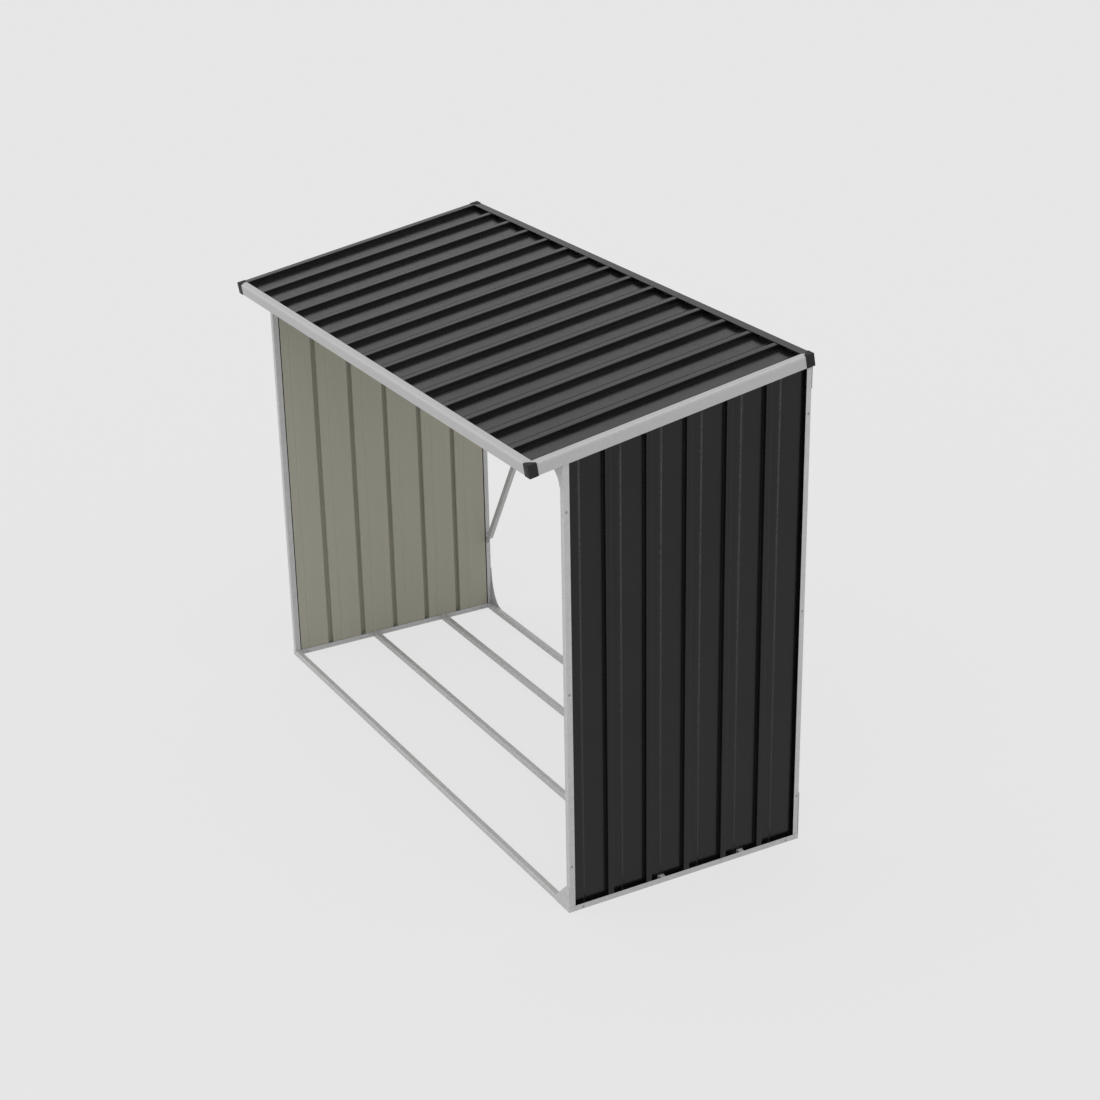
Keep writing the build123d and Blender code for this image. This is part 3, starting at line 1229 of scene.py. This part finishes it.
@dataclass
class Fasteners:
    """Screws through the posts and rails, near-black bolts at the braces' ends as painted shade, and rivets
    in the gussets.
    """

    store: Store
    screw: Head = Head(3.4 * MM, 1.9 * MM, PAN_RINGS, recess=0.62)
    rivet: Head = Head(2.6 * MM, 0.6 * MM, DOME_RINGS)
    foot_height: float = 151.0 * MM
    middle_share: float = 0.499
    top_margin: float = 159.0 * MM
    rail_inset: float = 45.0 * MM
    rail_screw_height: float = 8.0 * MM
    brace_gauge: float = 1.0 * MM
    # The lower foot bolt sits at the strap's end, where its dark head stands in for a shadow.
    foot_bolts: Pair = (3.8 * MM, 35.0 * MM)
    top_bolts: Pair = (6.0 * MM, 38.0 * MM)
    post_rivet_inset: float = 9.0 * MM
    post_rivets: Pair = (0.5, 0.85)
    rail_rivet_inset: float = 9.0 * MM
    beam_rivet_inset: float = 5.5 * MM
    strap_rivets: Pair = (0.55, 0.88)

    def build(self) -> None:
        """Set all fasteners."""
        for end in End:
            self._end_screws(end)
            self._brace_bolts(end)
        self._gusset_rivets()

    def _end_screws(self, end: End) -> None:
        """Set the screws in one end's posts and rail.

        Args:
            end: End of the store.
        """
        piece = FoldedPiece(f"end_screws_{end.word}")
        outward = Vector((end.value, 0.0, 0.0))
        rail_low, rail_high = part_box(f"base_{end.word}_rail")
        for row in Row:
            low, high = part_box(f"post_{row.word}_{end.word}")
            outer = high.x if end is End.RIGHT else low.x
            middle = (low.y + high.y) / 2
            for z in (self.foot_height, high.z * self.middle_share, high.z - self.top_margin):
                self.screw.set(piece, Vector((outer, middle, z)), outward)
            y = rail_low.y + self.rail_inset if row is Row.FRONT else rail_high.y - self.rail_inset
            for x, way in ((rail_low.x, -1.0), (rail_high.x, 1.0)):
                self.screw.set(piece, Vector((x, y, self.rail_screw_height)), Vector((way, 0.0, 0.0)))
        piece.make([self.store.finishes.screw])

    def _brace_bolts(self, end: End) -> None:
        """Set the bolts in the plates at both ends of one brace; their near-black heads are painted shade.

        Args:
            end: End of the store that the brace stands at.
        """
        piece = FoldedPiece(f"brace_bolts_{end.word}")
        node = f"brace_{end.word}"
        low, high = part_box(node)
        post_low, post_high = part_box(f"post_back_{end.word}")
        foot_x = low.x + self.brace_gauge if end is End.LEFT else high.x - self.brace_gauge
        middle = (post_low.y + post_high.y) / 2
        for up in self.foot_bolts:
            self.screw.set(piece, Vector((foot_x, middle, low.z + up)), Vector((-end.value, 0.0, 0.0)))
        roof = self.store.roof
        beam_low, beam_high = self.store.roof_box("roof_back_beam")
        under = self.store.roof_box(node)[1].z - self.brace_gauge
        edge_x = high.x if end is End.LEFT else low.x
        for back in self.top_bolts:
            place = roof.point(edge_x + end.value * back, (beam_low.y + beam_high.y) / 2, under)
            self.screw.set(piece, place, -roof.out)
        piece.make([self.store.finishes.bolt])

    def _gusset_rivets(self) -> None:
        """Set the rivets of all gussets, counted from the corner that each one stands in."""
        piece = FoldedPiece("gusset_rivets")
        for name in sorted(node for node in self.store.nodes if "gusset" in node):
            low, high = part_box(name)
            row = Row.FRONT if "front" in name else Row.BACK
            face = low.y if row is Row.FRONT else high.y
            corner_x, inward = (low.x, 1.0) if "left" in name else (high.x, -1.0)
            at_ground = name.startswith("base")
            corner_z, upward = (low.z, 1.0) if at_ground else (high.z, -1.0)
            strap = self.rail_rivet_inset if at_ground else self.beam_rivet_inset
            spots = [(self.post_rivet_inset, (high.z - low.z) * share) for share in self.post_rivets]
            spots += [((high.x - low.x) * share, strap) for share in self.strap_rivets]
            for along, up in spots:
                centre = Vector((corner_x + inward * along, face, corner_z + upward * up))
                self.rivet.set(piece, centre, Vector((0.0, row.value, 0.0)))
        piece.make([self.store.finishes.zinc])


@dataclass
class Studio:
    """Pale floor, even soft light, a broad fill lamp and the camera."""

    floor_radius: float = 90.0
    floor_sides: int = 64
    floor_tone: float = 0.778
    backdrop_tone: float = 0.795
    floor_drop: float = 0.3 * MM
    sky_strength: float = 0.88
    fill_strength: float = 1.3
    fill_spread_degrees: float = 100.0
    fill_from: tuple[float, float, float] = (0.2, -1.0, 1.5)
    camera_place: tuple[float, float, float] = (5.696448, -3.014433, 3.485072)
    yaw_degrees: float = 150.863
    pitch_degrees: float = -23.425
    roll_degrees: float = -1.08
    focal_pixels: float = 2196.327
    image_pixels: float = 1100.0
    sensor_width: float = 36.0

    def build(self) -> None:
        """Set up the floor, the light and the camera."""
        bpy.context.scene.view_settings.view_transform = "Standard"
        self._floor()
        self._sky()
        self._fill()
        self._camera()

    def _floor(self) -> None:
        """Lay a wide pale floor."""
        edge = []
        for step in range(self.floor_sides):
            angle = 2 * math.pi * step / self.floor_sides
            x, y = self.floor_radius * math.cos(angle), self.floor_radius * math.sin(angle)
            edge.append((x, y, -self.floor_drop))
        mesh = bpy.data.meshes.new("pale_floor")
        mesh.from_pydata(edge, [], [list(range(self.floor_sides))])
        mesh.materials.append(FloorPaint("pale_floor_paint", (self.floor_tone,) * 3).material())
        floor = bpy.data.objects.new("pale_floor", mesh)
        bpy.context.scene.collection.objects.link(floor)

    def _sky(self) -> None:
        """Light the store evenly from all round, with a backdrop as pale as the lit floor."""
        world = bpy.data.worlds.new("soft_studio_light")
        tree = emptied(world)
        light = add(tree, "Background", Color=(1.0, 1.0, 1.0, 1.0), Strength=self.sky_strength)
        backdrop = add(tree, "Background", Color=tinted((self.backdrop_tone,) * 3, 1.0))
        shaders = {"Shader": light.outputs["Background"], "Shader_001": backdrop.outputs["Background"]}
        mix = add(tree, "MixShader", Fac=seen_rays(tree), **shaders)
        add(tree, "OutputWorld", Surface=mix.outputs["Shader"])
        bpy.context.scene.world = world

    def _fill(self) -> None:
        """Brighten the low open side and the tops a little with a very broad lamp."""
        lamp = bpy.data.lights.new("broad_front_fill", "SUN")
        lamp.energy = self.fill_strength
        lamp.angle = math.radians(self.fill_spread_degrees)
        fill_lamp = bpy.data.objects.new("broad_front_fill", lamp)
        fill_lamp.rotation_euler = Vector(self.fill_from).to_track_quat("Z", "Y").to_euler()
        bpy.context.scene.collection.objects.link(fill_lamp)

    def _camera(self) -> None:
        """Set the camera at the photograph's viewing angle."""
        yaw = math.radians(self.yaw_degrees)
        pitch = math.radians(self.pitch_degrees)
        roll = math.radians(self.roll_degrees)
        ahead = Vector((math.cos(pitch) * math.cos(yaw), math.cos(pitch) * math.sin(yaw), math.sin(pitch)))
        level = ahead.cross(Vector((0.0, 0.0, 1.0))).normalized()
        upright = level.cross(ahead)
        right = level * math.cos(roll) + upright * math.sin(roll)
        above = upright * math.cos(roll) - level * math.sin(roll)
        turn = Matrix((right, above, -ahead)).transposed().to_4x4()
        lens = bpy.data.cameras.new("photo_view")
        lens.sensor_width = self.sensor_width
        lens.lens = self.focal_pixels * self.sensor_width / self.image_pixels
        lens.clip_end = 2 * self.floor_radius
        camera = bpy.data.objects.new("photo_view", lens)
        camera.matrix_world = Matrix.Translation(self.camera_place) @ turn
        bpy.context.scene.collection.objects.link(camera)
        bpy.context.scene.camera = camera


def main() -> None:
    """Build the store's looks in order, then the studio."""
    logging.basicConfig(level=logging.INFO, format="%(name)s %(message)s")
    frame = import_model()
    nodes = frame["nodes"]
    store = Store(nodes, RoofPlane.from_trim(nodes["roof_trim_front"]), Finishes())
    channels = (BaseRails, Posts, RoofFrame)
    sheets = (WallSheets, RoofSheets, RoofTrims)
    for group in (*channels, *sheets, CornerCaps, BracesAndGussets, Fasteners):
        group(store).build()
    Studio().build()


if __name__ == "__main__":
    main()
